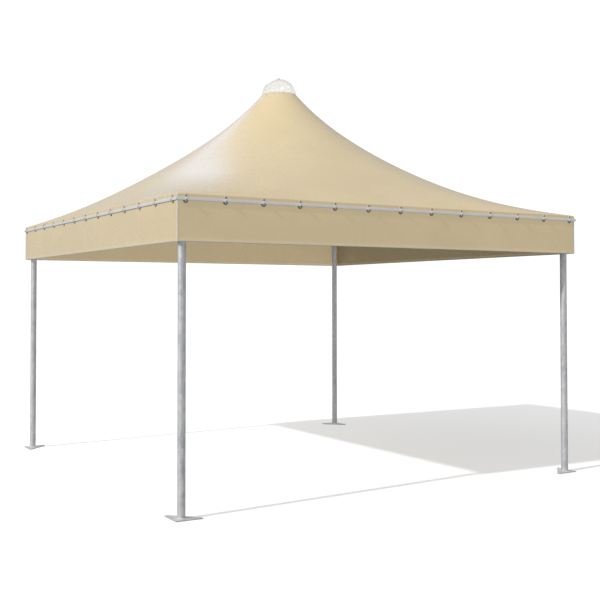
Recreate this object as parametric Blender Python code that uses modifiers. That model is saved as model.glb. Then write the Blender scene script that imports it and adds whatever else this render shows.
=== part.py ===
"""A square pagoda marquee: four posts, an eave frame, a king pole on taut stays and a peaked membrane roof.

Metres, +Z up. The origin is on the ground at the middle of the square. Front is -Y, left is -X.
Everything that stands at a corner or along a side is made once, at the front left corner or along
the front, and turned by quarter turns about the middle.
"""

import math

import bmesh
import bpy
from mathutils import Matrix, Vector

# Driving dimensions
HALF_WIDTH = 2.000  # middle of the tent to the outer face of a valance
CLEAR_HEIGHT = 2.000  # ground to the lower edge of a valance
FOLD_HEIGHT = 2.353  # ground to the fold between the roof and a valance
RING_HEIGHT = 3.630  # ground to the roof's upper edge
RING_RADIUS = 0.170  # roof's round upper edge
CLOTH = 0.004  # thickness of the roof and the valances
SEAT_GAP = 0.0003  # left between pieces that rest on each other

# Roof surface: shares of the way from the ring down to the eave
STRAIGHT_SHARE = 0.80  # part of the rise that is a straight slope
SWEEP = 4.6  # how quickly the steep part below the ring dies out
SQUARENESS = 0.29  # how soon the round rings turn square towards the eave
EAVE_EXPONENT = 300  # the eave is this nearly a true square
ROOF_RINGS = 11
ROOF_COLUMNS = 16  # in each panel

POST_DIAMETER = 0.0603
POST_INSET = 0.072  # valance's outer face to the middle of a post
POST_SIDES = 24
PLATE_LEG = 0.220
PLATE_TIP = 0.025  # width left at each blunted tip
PLATE_THICKNESS = 0.008

BEAM_SIDE = 0.060  # square tube
BRACKET_SIDE = 0.130
BRACKET_THICKNESS = 0.008
CLEAT_THICKNESS = 0.006  # upright angle inside the beams' corner
CLEAT_HEIGHT = 0.050
LUG_THICKNESS = 0.012
LUG_REACH = 0.060  # from the cleat's corner towards the middle
LUG_HEIGHT = 0.040

HUB_RADIUS = 0.055  # across the flats of the king pole's octagonal foot, halved
HUB_HEIGHT = 0.050
HUB_MIDDLE = 2.255
STAY_RADIUS = 0.006
SOCKET_RADIUS = 0.012
SOCKET_LENGTH = 0.110
SOCKET_TAPER = 0.020
STAY_SIDES = 12

POLE_DIAMETER = 0.0483
RING_PLATE = 0.010
RING_RIM = 0.045  # depth of the rim that the membrane hangs on
RING_WALL = 0.006
BOSS_RADIUS = 0.038
BOSS_DEPTH = 0.070
TURNED_STEPS = 32

DOME_RADIUS = 0.1685
DOME_WALL = 0.004
DOME_RISE = 0.158
DOME_POINTS = 9  # along the outer quarter circle
KNOB_RADIUS = 0.006
KNOB_HEIGHT = 0.010

RAIL_RADIUS = 0.010
RAIL_HEIGHT = 2.312
STAPLES = 13
FIRST_STAPLE = 0.068  # in from the corner
STAPLE_WIDTH = 0.010
STAPLE_WIRE = 0.004
STAPLE_ABOVE = 0.026  # from the rail's middle line to the upper leg
STAPLE_BELOW = 0.024
STAPLE_STEPS = 6  # along its round nose

CORNER_LEG = 0.016  # strip down the corner between two valances
CORNER_RADIUS = 0.0036
CORNER_STEPS = 4

CORNERS = ["front_left", "front_right", "back_right", "back_left"]
SIDES = ["front", "right", "back", "left"]

BEAM_OUTER = HALF_WIDTH - CLOTH - SEAT_GAP
BEAM_INNER = BEAM_OUTER - BEAM_SIDE
BEAM_TOP = FOLD_HEIGHT - CLOTH - SEAT_GAP
BEAM_BOTTOM = BEAM_TOP - BEAM_SIDE
BRACKET_TOP = BEAM_BOTTOM - SEAT_GAP
BRACKET_BOTTOM = BRACKET_TOP - BRACKET_THICKNESS
POST_BOTTOM = PLATE_THICKNESS + SEAT_GAP
POST_TOP = BRACKET_BOTTOM - SEAT_GAP
POST_PLACE = HALF_WIDTH - POST_INSET
RAIL_LINE = HALF_WIDTH + SEAT_GAP + RAIL_RADIUS


def clear_scene():
    for old in list(bpy.data.objects):
        bpy.data.objects.remove(old, do_unlink=True)


def new_collection(name):
    collection = bpy.data.collections.new(name)
    bpy.context.scene.collection.children.link(collection)
    return collection


def new_material(name, colour, roughness, metallic):
    material = bpy.data.materials.new(name)
    material.use_nodes = True
    shader = material.node_tree.nodes["Principled BSDF"]
    shader.inputs["Base Color"].default_value = (*colour, 1.0)
    shader.inputs["Roughness"].default_value = roughness
    shader.inputs["Metallic"].default_value = metallic
    return material


clear_scene()
tent = new_collection("marquee_tent")
shaping = new_collection("shaping")
shaping.hide_render = True

galvanised = new_material("galvanised_steel", (0.52, 0.53, 0.54), 0.45, 0.9)
aluminium = new_material("aluminium_rail", (0.60, 0.60, 0.61), 0.40, 0.8)
membrane = new_material("beige_membrane", (0.70, 0.58, 0.38), 0.55, 0.0)
piping = new_material("light_piping", (0.62, 0.60, 0.54), 0.50, 0.0)
acrylic = new_material("clear_acrylic", (0.85, 0.86, 0.86), 0.15, 0.0)


def smooth(mesh, degrees=35):
    mesh.shade_smooth()
    mesh.set_sharp_from_angle(angle=math.radians(degrees))


def place(name, mesh, material, turn=0, at=(0, 0, 0)):
    """Puts a mesh in the tent as its own piece, after the given number of quarter turns."""
    piece = bpy.data.objects.new(name, mesh)
    if not mesh.materials:
        mesh.materials.append(material)
    piece.matrix_world = Matrix.Rotation(turn * math.pi / 2, 4, "Z") @ Matrix.Translation(at)
    tent.objects.link(piece)
    return piece


def mesh_from(shape, name):
    mesh = bpy.data.meshes.new(name)
    shape.to_mesh(mesh)
    shape.free()
    return mesh


def box_mesh(name, low, high):
    low, high = Vector(low), Vector(high)
    shape = bmesh.new()
    sizes = Matrix.Diagonal((*(high - low), 1))
    bmesh.ops.create_cube(shape, size=1, matrix=Matrix.Translation((low + high) / 2) @ sizes)
    return mesh_from(shape, name)


def cylinder_mesh(name, radius, bottom, top, sides):
    shape = bmesh.new()
    bmesh.ops.create_cone(
        shape,
        cap_ends=True,
        segments=sides,
        radius1=radius,
        radius2=radius,
        depth=top - bottom,
        matrix=Matrix.Translation((0, 0, (top + bottom) / 2)),
    )
    mesh = mesh_from(shape, name)
    smooth(mesh)
    return mesh


def turned(name, profile, material, steps):
    """A piece turned about Z from (radius, height) points that run down its outer side."""
    mesh = bpy.data.meshes.new(name)
    points = [(radius, 0, height) for radius, height in profile]
    edges = [(i, i + 1) for i in range(len(points) - 1)]
    mesh.from_pydata(points, edges, [])
    piece = place(name, mesh, material)
    screw = piece.modifiers.new("turn", "SCREW")
    screw.steps = steps
    screw.render_steps = steps
    screw.use_merge_vertices = True
    screw.merge_threshold = 0.0001
    screw.use_smooth_shade = True
    return piece


def outline_mesh(name, points, thickness):
    """A flat plate, drawn in its own XY plane and half its thickness to each side of it."""
    curve = bpy.data.curves.new(name, "CURVE")
    curve.dimensions = "2D"
    curve.fill_mode = "BOTH"
    curve.extrude = thickness / 2
    line = curve.splines.new("POLY")
    line.points.add(len(points) - 1)
    for point, (x, y) in zip(line.points, points):
        point.co = (x, y, 0, 1)
    line.use_cyclic_u = True
    return mesh_of_curve(name, curve)


def mesh_of_curve(name, curve):
    drawn = bpy.data.objects.new(name, curve)
    shaping.objects.link(drawn)
    bpy.context.view_layer.update()
    graph = bpy.context.evaluated_depsgraph_get()
    mesh = bpy.data.meshes.new_from_object(drawn.evaluated_get(graph))
    bpy.data.objects.remove(drawn)
    shape = bmesh.new()
    shape.from_mesh(mesh)
    bmesh.ops.remove_doubles(shape, verts=shape.verts, dist=0.00001)
    bmesh.ops.recalc_face_normals(shape, faces=shape.faces)
    shape.to_mesh(mesh)
    shape.free()
    return mesh


def fused_mesh(name, meshes):
    """One closed mesh from several that overlap each other."""
    pieces = [bpy.data.objects.new(name, mesh) for mesh in meshes]
    for piece in pieces:
        shaping.objects.link(piece)
        piece.display_type = "WIRE"
        piece.hide_render = True
    for other in pieces[1:]:
        join = pieces[0].modifiers.new("join", "BOOLEAN")
        join.operation = "UNION"
        join.solver = "EXACT"
        join.object = other
    bpy.context.view_layer.update()
    graph = bpy.context.evaluated_depsgraph_get()
    fused = bpy.data.meshes.new_from_object(pieces[0].evaluated_get(graph))
    for piece in pieces:
        bpy.data.objects.remove(piece)
    return fused


def moved(mesh, matrix):
    mesh.transform(matrix)
    return mesh


# Base plates: right-angled triangles, flush with the valances, with blunted tips

tips = [(0, 0), (PLATE_LEG, 0), (PLATE_LEG, PLATE_TIP), (PLATE_TIP, PLATE_LEG), (0, PLATE_LEG)]
plate_mesh = outline_mesh("base_plate", tips, PLATE_THICKNESS)
for turn, corner in enumerate(CORNERS):
    at = (-HALF_WIDTH, -HALF_WIDTH, PLATE_THICKNESS / 2)
    place(f"base_plate_{corner}", plate_mesh, galvanised, turn, at)

# Posts: round tubes that stand on the base plates

post_mesh = cylinder_mesh("post", POST_DIAMETER / 2, POST_BOTTOM, POST_TOP, POST_SIDES)
for turn, corner in enumerate(CORNERS):
    place(f"post_{corner}", post_mesh, galvanised, turn, (-POST_PLACE, -POST_PLACE, 0))


# Corner brackets: a plate on the post's head, an upright angle inside the beams and a lug for the stay


CLEAT_CORNER = -BEAM_INNER + SEAT_GAP
LUG_ROOT = CLEAT_CORNER + CLEAT_THICKNESS


def bracket_mesh():
    edge = -BEAM_OUTER
    inner_edge = edge + BRACKET_SIDE
    plate = box_mesh("plate", (edge, edge, BRACKET_BOTTOM), (inner_edge, inner_edge, BRACKET_TOP))
    root = BRACKET_TOP - BRACKET_THICKNESS / 2
    cleat_end = inner_edge - CLEAT_THICKNESS
    cleat_wall = CLEAT_CORNER + CLEAT_THICKNESS
    angle = [
        (CLEAT_CORNER, CLEAT_CORNER),
        (cleat_end, CLEAT_CORNER),
        (cleat_end, cleat_wall),
        (cleat_wall, cleat_wall),
        (cleat_wall, cleat_end),
        (CLEAT_CORNER, cleat_end),
    ]
    cleat_top = BRACKET_TOP + CLEAT_HEIGHT
    cleat = outline_mesh("cleat", angle, cleat_top - root)
    moved(cleat, Matrix.Translation((0, 0, (cleat_top + root) / 2)))
    lug = box_mesh(
        "lug",
        (0, -LUG_THICKNESS / 2, root + SEAT_GAP),
        (LUG_REACH, LUG_THICKNESS / 2, BRACKET_TOP + LUG_HEIGHT),
    )
    moved(lug, Matrix.Translation((LUG_ROOT, LUG_ROOT, 0)) @ Matrix.Rotation(math.pi / 4, 4, "Z"))
    return fused_mesh("corner_bracket", [plate, cleat, lug])


bracket = bracket_mesh()
for turn, corner in enumerate(CORNERS):
    place(f"corner_bracket_{corner}", bracket, galvanised, turn)

# Eave beams: square tubes on the corner brackets, each butting on the side of the next

beam_mesh = box_mesh(
    "eave_beam",
    (-BEAM_INNER + SEAT_GAP, -BEAM_OUTER, BEAM_BOTTOM),
    (BEAM_OUTER, -BEAM_INNER, BEAM_TOP),
)
for turn, side in enumerate(SIDES):
    place(f"eave_beam_{side}", beam_mesh, galvanised, turn)

# King pole: an octagonal foot that the stays hold, the pole, and the ring on its head

HUB_TOP = HUB_MIDDLE + HUB_HEIGHT / 2
RING_TOP = RING_HEIGHT - CLOTH / 2
BOSS_BOTTOM = RING_TOP - BOSS_DEPTH

hub_corner_radius = HUB_RADIUS / math.cos(math.pi / 8)
hub = cylinder_mesh("king_pole_foot", hub_corner_radius, HUB_TOP - HUB_HEIGHT, HUB_TOP, 8)
moved(hub, Matrix.Rotation(math.pi / 8, 4, "Z"))
place("king_pole_foot", hub, galvanised)

pole_bottom = HUB_TOP + SEAT_GAP
pole_top = BOSS_BOTTOM - SEAT_GAP
place(
    "king_pole",
    cylinder_mesh("king_pole", POLE_DIAMETER / 2, pole_bottom, pole_top, POST_SIDES),
    galvanised,
)

ring_edge = RING_RADIUS - SEAT_GAP
turned(
    "peak_ring",
    [
        (0, RING_TOP),
        (ring_edge, RING_TOP),
        (ring_edge, RING_TOP - RING_RIM),
        (ring_edge - RING_WALL, RING_TOP - RING_RIM),
        (ring_edge - RING_WALL, RING_TOP - RING_PLATE),
        (BOSS_RADIUS, RING_TOP - RING_PLATE),
        (BOSS_RADIUS, BOSS_BOTTOM),
        (0, BOSS_BOTTOM),
    ],
    galvanised,
    TURNED_STEPS,
)


# Diagonal stays: taut rods with a socket at each end, from the lugs down to the king pole's foot


def stay_matrix(high, low):
    """Turns +Z from low to high and moves the origin to low."""
    turn = (high - low).to_track_quat("Z", "Y")
    return Matrix.Translation(low) @ turn.to_matrix().to_4x4()


def stay_mesh():
    lug_end = LUG_ROOT + (LUG_REACH + 2 * SEAT_GAP) / math.sqrt(2)
    high = Vector((lug_end, lug_end, BRACKET_TOP + LUG_HEIGHT / 2))
    hub_face = -(HUB_RADIUS + 2 * SEAT_GAP) / math.sqrt(2)
    low = Vector((hub_face, hub_face, HUB_MIDDLE))
    length = (high - low).length
    profile = [
        (0, length),
        (SOCKET_RADIUS, length),
        (SOCKET_RADIUS, length - SOCKET_LENGTH),
        (STAY_RADIUS, length - SOCKET_LENGTH - SOCKET_TAPER),
        (STAY_RADIUS, SOCKET_LENGTH + SOCKET_TAPER),
        (SOCKET_RADIUS, SOCKET_LENGTH),
        (SOCKET_RADIUS, 0),
        (0, 0),
    ]
    rod = turned("stay", profile, galvanised, STAY_SIDES)
    bpy.context.view_layer.update()
    graph = bpy.context.evaluated_depsgraph_get()
    mesh = bpy.data.meshes.new_from_object(rod.evaluated_get(graph))
    bpy.data.objects.remove(rod)
    return moved(mesh, stay_matrix(high, low))


stay = stay_mesh()
for turn, corner in enumerate(CORNERS):
    place(f"stay_{corner}", stay, galvanised, turn)


# Roof membrane: one anticlastic surface from the round ring to the square eave, in four panels


def roof_point(share, slope_along):
    """A point of the roof's outer surface in the front panel.

    share runs from 0 at the ring to 1 at the eave, slope_along from -1 to 1 across the panel.
    """
    angle = math.atan(slope_along)
    exponent = EAVE_EXPONENT
    if share < 1:
        exponent = min(2 + SQUARENESS * share / (1 - share), EAVE_EXPONENT)
    size = math.cos(angle) ** exponent + abs(math.sin(angle)) ** exponent
    reach = HALF_WIDTH / size ** (1 / exponent)
    radius = RING_RADIUS + (reach - RING_RADIUS) * share
    fading = (math.exp(-SWEEP * share) - math.exp(-SWEEP)) / (1 - math.exp(-SWEEP))
    rise = STRAIGHT_SHARE * (1 - share) + (1 - STRAIGHT_SHARE) * fading
    height = FOLD_HEIGHT + (RING_HEIGHT - FOLD_HEIGHT) * rise
    return Vector((radius * math.sin(angle), -radius * math.cos(angle), height))


def roof_panel_mesh():
    """A closed sheet between the surface and the same surface lowered by the cloth's thickness."""
    shape = bmesh.new()
    seam_shift = {0: Vector((1, -1, 0)), ROOF_COLUMNS: Vector((-1, -1, 0))}
    grid = []
    for ring in range(ROOF_RINGS + 1):
        share = math.sin(ring / ROOF_RINGS * math.pi / 2)
        row = []
        for column in range(ROOF_COLUMNS + 1):
            across = math.sin((2 * column / ROOF_COLUMNS - 1) * math.pi / 2)
            top = roof_point(share, across)
            if column in seam_shift:
                top += seam_shift[column] * SEAT_GAP / 2
            row.append((shape.verts.new(top), shape.verts.new(top - Vector((0, 0, CLOTH)))))
        grid.append(row)
    for upper, lower in zip(grid, grid[1:]):
        for column in range(ROOF_COLUMNS):
            a, b, c, d = upper[column], upper[column + 1], lower[column + 1], lower[column]
            shape.faces.new((a[0], d[0], c[0], b[0]))
            shape.faces.new((a[1], b[1], c[1], d[1]))
        for end in (0, ROOF_COLUMNS):
            a, b = upper[end], lower[end]
            shape.faces.new((a[0], a[1], b[1], b[0]))
    for row in (grid[0], grid[-1]):
        for a, b in zip(row, row[1:]):
            shape.faces.new((a[0], b[0], b[1], a[1]))
    bmesh.ops.recalc_face_normals(shape, faces=shape.faces)
    mesh = mesh_from(shape, "roof_panel")
    smooth(mesh)
    return mesh


roof_panel = roof_panel_mesh()
for turn, side in enumerate(SIDES):
    place(f"roof_panel_{side}", roof_panel, membrane, turn)

# Valances: flat cloths below the roof's edges, from one corner strip to the next

VALANCE_TOP = FOLD_HEIGHT - CLOTH - SEAT_GAP
valance_end = HALF_WIDTH - CORNER_LEG - SEAT_GAP
valance = box_mesh(
    "valance",
    (-valance_end, -HALF_WIDTH, CLEAR_HEIGHT),
    (valance_end, -HALF_WIDTH + CLOTH, VALANCE_TOP),
)
for turn, side in enumerate(SIDES):
    place(f"valance_{side}", valance, membrane, turn)


# Corner strips: cloth angles with a rounded edge, between two valances


def corner_strip_mesh():
    middle = -HALF_WIDTH + CORNER_RADIUS
    leg_end = -HALF_WIDTH + CORNER_LEG
    inner = -HALF_WIDTH + CLOTH
    points = [(leg_end, inner), (inner, inner), (inner, leg_end), (-HALF_WIDTH, leg_end)]
    for step in range(CORNER_STEPS + 1):
        angle = math.pi + step / CORNER_STEPS * math.pi / 2
        points.append((middle + CORNER_RADIUS * math.cos(angle), middle + CORNER_RADIUS * math.sin(angle)))
    points.append((leg_end, -HALF_WIDTH))
    mesh = outline_mesh("corner_strip", points, VALANCE_TOP - CLEAR_HEIGHT)
    smooth(mesh)
    return mesh


corner_strip = corner_strip_mesh()
for turn, corner in enumerate(CORNERS):
    at = (0, 0, (VALANCE_TOP + CLEAR_HEIGHT) / 2)
    place(f"corner_strip_{corner}", corner_strip, piping, turn, at)


# Rails: round tubes held to the valances by staples, each lapping over the start of the next


def staple_outline():
    """The staple from its side: x is away from the cloth, y is up."""
    nose = RAIL_LINE - HALF_WIDTH
    outer, inner = [(SEAT_GAP, STAPLE_ABOVE)], [(SEAT_GAP, STAPLE_ABOVE - STAPLE_WIRE)]
    for step in range(STAPLE_STEPS + 1):
        angle = math.pi / 2 - step / STAPLE_STEPS * math.pi
        height = STAPLE_ABOVE if step < STAPLE_STEPS / 2 else STAPLE_BELOW
        across, up = math.cos(angle), math.sin(angle)
        outer.append((nose + (RAIL_RADIUS + STAPLE_WIRE / 2) * across, height * up))
        inner.append((nose + (RAIL_RADIUS - STAPLE_WIRE / 2) * across, (height - STAPLE_WIRE) * up))
    outer.append((SEAT_GAP, -STAPLE_BELOW))
    inner.append((SEAT_GAP, STAPLE_WIRE - STAPLE_BELOW))
    return outer + inner[::-1]


def rail_mesh():
    curve = bpy.data.curves.new("rail", "CURVE")
    curve.dimensions = "3D"
    curve.bevel_depth = RAIL_RADIUS
    curve.bevel_resolution = 4
    curve.use_fill_caps = True
    line = curve.splines.new("POLY")
    line.points.add(1)
    line.points[0].co = (-HALF_WIDTH, -RAIL_LINE, RAIL_HEIGHT, 1)
    line.points[1].co = (RAIL_LINE + RAIL_RADIUS, -RAIL_LINE, RAIL_HEIGHT, 1)
    tube = mesh_of_curve("rail", curve)
    upright = Matrix.Rotation(-math.pi / 2, 4, "Z") @ Matrix.Rotation(math.pi / 2, 4, "X")
    spacing = 2 * (HALF_WIDTH - FIRST_STAPLE) / (STAPLES - 1)
    staples = bmesh.new()
    for number in range(STAPLES):
        at = Matrix.Translation((-HALF_WIDTH + FIRST_STAPLE + number * spacing, -HALF_WIDTH, RAIL_HEIGHT))
        staple = outline_mesh("staple", staple_outline(), STAPLE_WIDTH)
        staples.from_mesh(moved(staple, at @ upright))
    return fused_mesh("rail", [tube, mesh_from(staples, "staples")])


rail = rail_mesh()
smooth(rail)
for turn, side in enumerate(SIDES):
    place(f"rail_{side}", rail, aluminium, turn)

# Dome cap: a clear bowl upside down on the peak ring, and the knob that closes it

dome_bottom = RING_TOP + SEAT_GAP


def dome_arc(radius, rise, points):
    """(radius, height) points from the top of the dome down to its rim."""
    angles = [i / (points - 1) * math.pi / 2 for i in range(points)]
    return [(radius * math.sin(angle), dome_bottom + rise * math.cos(angle)) for angle in angles]


outside = dome_arc(DOME_RADIUS, DOME_RISE, DOME_POINTS)
inside = dome_arc(DOME_RADIUS - DOME_WALL, DOME_RISE - DOME_WALL, DOME_POINTS)
turned("dome_cap", outside + inside[::-1], acrylic, TURNED_STEPS)

knob_bottom = dome_bottom + DOME_RISE + SEAT_GAP
knob = cylinder_mesh("cap_knob", KNOB_RADIUS, knob_bottom, knob_bottom + KNOB_HEIGHT, 12)
place("cap_knob", knob, galvanised)
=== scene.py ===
import math

import bmesh
import bpy
from mathutils import Matrix, Vector, noise


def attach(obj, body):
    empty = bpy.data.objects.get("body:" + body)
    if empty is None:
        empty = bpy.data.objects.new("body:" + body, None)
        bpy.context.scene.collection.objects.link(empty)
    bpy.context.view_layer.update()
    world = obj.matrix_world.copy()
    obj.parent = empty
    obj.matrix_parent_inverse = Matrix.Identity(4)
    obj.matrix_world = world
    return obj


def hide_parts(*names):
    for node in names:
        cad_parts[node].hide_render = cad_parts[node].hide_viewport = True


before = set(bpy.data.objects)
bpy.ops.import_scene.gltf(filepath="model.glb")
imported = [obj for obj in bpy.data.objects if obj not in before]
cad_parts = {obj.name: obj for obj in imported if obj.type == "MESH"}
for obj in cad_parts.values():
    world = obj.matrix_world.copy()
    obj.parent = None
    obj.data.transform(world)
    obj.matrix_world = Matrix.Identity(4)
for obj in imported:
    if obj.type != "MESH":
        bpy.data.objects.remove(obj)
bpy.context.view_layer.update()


# Viewpoint: a standing person's eye, seven metres out from the near post, looking very slightly up.
# The tent fills the frame, with the near corner left of the middle.

EYE = Vector((-4.821, -8.356, 1.603))
LOOK_ROUND = 0.5205  # radians from +Y towards +X
LOOK_UP = 0.0241

camera_data = bpy.data.cameras.new("viewpoint")
camera_data.sensor_width = 36
camera_data.lens = 57.876
camera_data.shift_x = 0.0396
camera_data.shift_y = -0.0430
camera_data.clip_end = 400
camera = bpy.data.objects.new("viewpoint", camera_data)
look = Vector(
    (
        math.sin(LOOK_ROUND) * math.cos(LOOK_UP),
        math.cos(LOOK_ROUND) * math.cos(LOOK_UP),
        math.sin(LOOK_UP),
    )
)
camera.location = EYE
camera.rotation_euler = look.to_track_quat("-Z", "Y").to_euler()
bpy.context.scene.collection.objects.link(camera)
bpy.context.scene.camera = camera
bpy.context.scene.view_settings.view_transform = "Standard"


# Floor and daylight: a plain white floor, a low sun from the left that throws the tent's shadow to the
# right, a wide fill from beside the viewer, a soft glow on the roof's gloss, and an uneven pale sky.


def plug(tree, node, sockets):
    """Gives each socket a number, a colour or another node's output."""
    for name, value in sockets.items():
        if isinstance(value, bpy.types.NodeSocket):
            tree.links.new(value, node.inputs[name])
        else:
            node.inputs[name].default_value = value


def add(tree, kind, sockets=None, **settings):
    """Adds a shader node with its settings and sockets."""
    made = tree.nodes.new(kind)
    for name, value in settings.items():
        setattr(made, name, value)
    plug(tree, made, sockets or {})
    return made


def calc(tree, operation, *values, **settings):
    """A sum over numbers and outputs."""
    sockets = dict(enumerate(values))
    return add(tree, "ShaderNodeMath", sockets, operation=operation, **settings).outputs[0]


def mix_numbers(tree, share, first, second):
    """The first number or the second, or what lies between them."""
    sockets = {0: share, 2: first, 3: second}
    return add(tree, "ShaderNodeMix", sockets, data_type="FLOAT").outputs[0]


def mix_colours(tree, share, first, second):
    """The first colour or the second, or what lies between them."""
    sockets = {0: share, 6: first, 7: second}
    return add(tree, "ShaderNodeMix", sockets, data_type="RGBA").outputs[2]


def new_finish(name):
    """A material with its node tree and its shader."""
    material = bpy.data.materials.new(name)
    material.use_nodes = True
    return material, material.node_tree, material.node_tree.nodes["Principled BSDF"]


FLOOR_SIZE = 120.0
FLOOR_SEEN = 0.85
FLOOR_BOUNCE = 0.35  # a matt floor that throws less light back than the camera sees of it
floor_finish, floor_tree, floor_shader = new_finish("white_floor")
floor_rays = add(floor_tree, "ShaderNodeLightPath").outputs
floor_tone = mix_numbers(floor_tree, floor_rays["Is Camera Ray"], FLOOR_BOUNCE, FLOOR_SEEN)
floor_tree.links.new(floor_tone, floor_shader.inputs["Base Color"])
floor_shader.inputs["Roughness"].default_value = 0.9
floor_shader.inputs["Specular IOR Level"].default_value = 0.0
floor_shape = bmesh.new()
bmesh.ops.create_grid(floor_shape, x_segments=1, y_segments=1, size=FLOOR_SIZE / 2)
floor_mesh = bpy.data.meshes.new("floor")
floor_shape.to_mesh(floor_mesh)
floor_shape.free()
floor_mesh.materials.append(floor_finish)
floor = bpy.data.objects.new("floor", floor_mesh)
bpy.context.scene.collection.objects.link(floor)

SUN_TURN = math.radians(6)  # the light travels towards +X and a little towards +Y
SUN_DROP = math.radians(32)
sun_data = bpy.data.lights.new("sun", "SUN")
sun_data.energy = 2.36
sun_data.angle = math.radians(1.2)
sun = bpy.data.objects.new("sun", sun_data)
sun_way = Vector(
    (
        math.cos(SUN_TURN) * math.cos(SUN_DROP),
        math.sin(SUN_TURN) * math.cos(SUN_DROP),
        -math.sin(SUN_DROP),
    )
)
sun.rotation_euler = sun_way.to_track_quat("-Z", "Y").to_euler()
bpy.context.scene.collection.objects.link(sun)

# The fill casts no shadow, as a large soft light beside the viewer would.
FILL_WAY = Vector((0.06, 0.764, -0.642))
fill_data = bpy.data.lights.new("fill", "SUN")
fill_data.energy = 2.38
fill_data.angle = math.radians(20)
fill_data.use_shadow = False
fill = bpy.data.objects.new("fill", fill_data)
fill.rotation_euler = FILL_WAY.to_track_quat("-Z", "Y").to_euler()
fill.visible_glossy = False
bpy.context.scene.collection.objects.link(fill)

# The glow shows only in glossy surfaces: a pale blue patch of sky, low behind the tent.
GLOW_WAY = Vector((-0.235, -0.810, -0.538))
glow_data = bpy.data.lights.new("glow", "SUN")
glow_data.energy = 0.082
glow_data.color = (0.30, 0.52, 0.95)
glow_data.angle = math.radians(14)
glow_data.use_shadow = False
glow = bpy.data.objects.new("glow", glow_data)
glow.rotation_euler = GLOW_WAY.to_track_quat("-Z", "Y").to_euler()
glow.visible_diffuse = False
bpy.context.scene.collection.objects.link(glow)

SKY_EVEN = 0.05
# Shiny surfaces show a calmer and cooler sky than the one that lights them.
MIRRORED_SHARE = 0.20
MIRRORED_EVEN = 0.29
MIRRORED_COLOUR = (0.95, 1.00, 1.12, 1)
BACKDROP = 1.1
SKY_LOBES = (  # way towards the brighter part of the sky, how narrow it is, how much it adds
    ((0, 0, 1), 1, 0.05),
    ((-1, 0, 0), 2, 1.60),
    ((1, 0, 0), 2, 0.44),
    ((0, 1, 0), 2, 0.86),
)
world = bpy.data.worlds.new("daylight")
bpy.context.scene.world = world
world.use_nodes = True
sky = world.node_tree
sky_way = add(sky, "ShaderNodeTexCoord").outputs["Generated"]
sky_sum = SKY_EVEN
for lobe_way, narrowness, strength in SKY_LOBES:
    facing = add(sky, "ShaderNodeVectorMath", {0: sky_way, 1: lobe_way}, operation="DOT_PRODUCT")
    lit_side = calc(sky, "MAXIMUM", facing.outputs["Value"], 0.0)
    sky_sum = calc(sky, "MULTIPLY_ADD", calc(sky, "POWER", lit_side, narrowness), strength, sky_sum)
# The camera itself, straight or through the clear cap, sees plain white behind the tent.
sky_rays = add(sky, "ShaderNodeLightPath").outputs
glossy_rays = sky_rays["Is Glossy Ray"]
seen_rays = calc(sky, "MAXIMUM", sky_rays["Is Camera Ray"], sky_rays["Is Transmission Ray"])
sky_mirrored = calc(sky, "MULTIPLY_ADD", sky_sum, MIRRORED_SHARE, MIRRORED_EVEN)
sky_sent = mix_numbers(sky, glossy_rays, sky_sum, sky_mirrored)
tinted_rays = calc(sky, "SUBTRACT", glossy_rays, seen_rays, use_clamp=True)
sky_colour = mix_colours(sky, tinted_rays, (1, 1, 1, 1), MIRRORED_COLOUR)
backdrop = mix_numbers(sky, seen_rays, sky_sent, BACKDROP)
plug(sky, sky.nodes["Background"], {"Color": sky_colour, "Strength": backdrop})


# Base plates: right-angled triangles of 8 mm steel, hot-dip galvanised, with a fillet weld round the
# post. Their right angle is at the tent's outer corner and their long side faces the middle.

CORNERS = ("front_left", "front_right", "back_right", "back_left")
HALF_WIDTH = 2.000
PLATE_LEG = 0.213
PLATE_TIP = 0.025
PLATE_THICKNESS = 0.008
PLATE_ROUNDING = 0.004
PLATE_EDGE = 0.0010
POST_RADIUS = 0.03015
POST_PLACE = 1.928
WELD_SIZE = 0.0058
WELD_RIPPLES = 46


def new_group(name, inputs, outputs):
    """An empty shader group with named float inputs and (kind, name) outputs."""
    group = bpy.data.node_groups.new(name, "ShaderNodeTree")
    for title, value in inputs.items():
        socket = group.interface.new_socket(title, in_out="INPUT", socket_type="NodeSocketFloat")
        socket.default_value = value
    for title, kind in outputs.items():
        group.interface.new_socket(title, in_out="OUTPUT", socket_type=kind)
    return group, group.nodes.new("NodeGroupInput").outputs, group.nodes.new("NodeGroupOutput").inputs


def place_on(tree):
    """The place on the piece, in metres."""
    return add(tree, "ShaderNodeTexCoord").outputs["Object"]


def stretched(tree, place, shares):
    """The place, drawn out along its axes."""
    return add(tree, "ShaderNodeVectorMath", {0: place, 1: shares}, operation="MULTIPLY").outputs[0]


def cloudy(tree, place, scale, detail, roughness=0.5):
    """Soft noise: its outputs are Fac and Color."""
    sockets = {"Vector": place, "Scale": scale, "Detail": detail, "Roughness": roughness}
    return add(tree, "ShaderNodeTexNoise", sockets).outputs


def ranged(tree, value, source=(0, 1), target=(0, 1)):
    """The value, carried from one range to another."""
    sockets = {"Value": value, "From Min": source[0], "From Max": source[1]}
    sockets |= {"To Min": target[0], "To Max": target[1]}
    return add(tree, "ShaderNodeMapRange", sockets).outputs["Result"]


def toned(tree, value, *stops):
    """The colour of a value, by stops of a position and a colour."""
    made = add(tree, "ShaderNodeValToRGB", {"Fac": value})
    ramp = made.color_ramp.elements
    for stop, (position, colour) in zip(ramp, (stops[0], stops[-1])):
        stop.position, stop.color = position, (*colour, 1)
    for position, colour in stops[1:-1]:
        ramp.new(position).color = (*colour, 1)
    return made.outputs["Color"]


def bumped(tree, height, strength, distance):
    """The normal of a surface with this relief."""
    sockets = {"Height": height, "Strength": strength, "Distance": distance}
    return add(tree, "ShaderNodeBump", sockets).outputs["Normal"]


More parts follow.
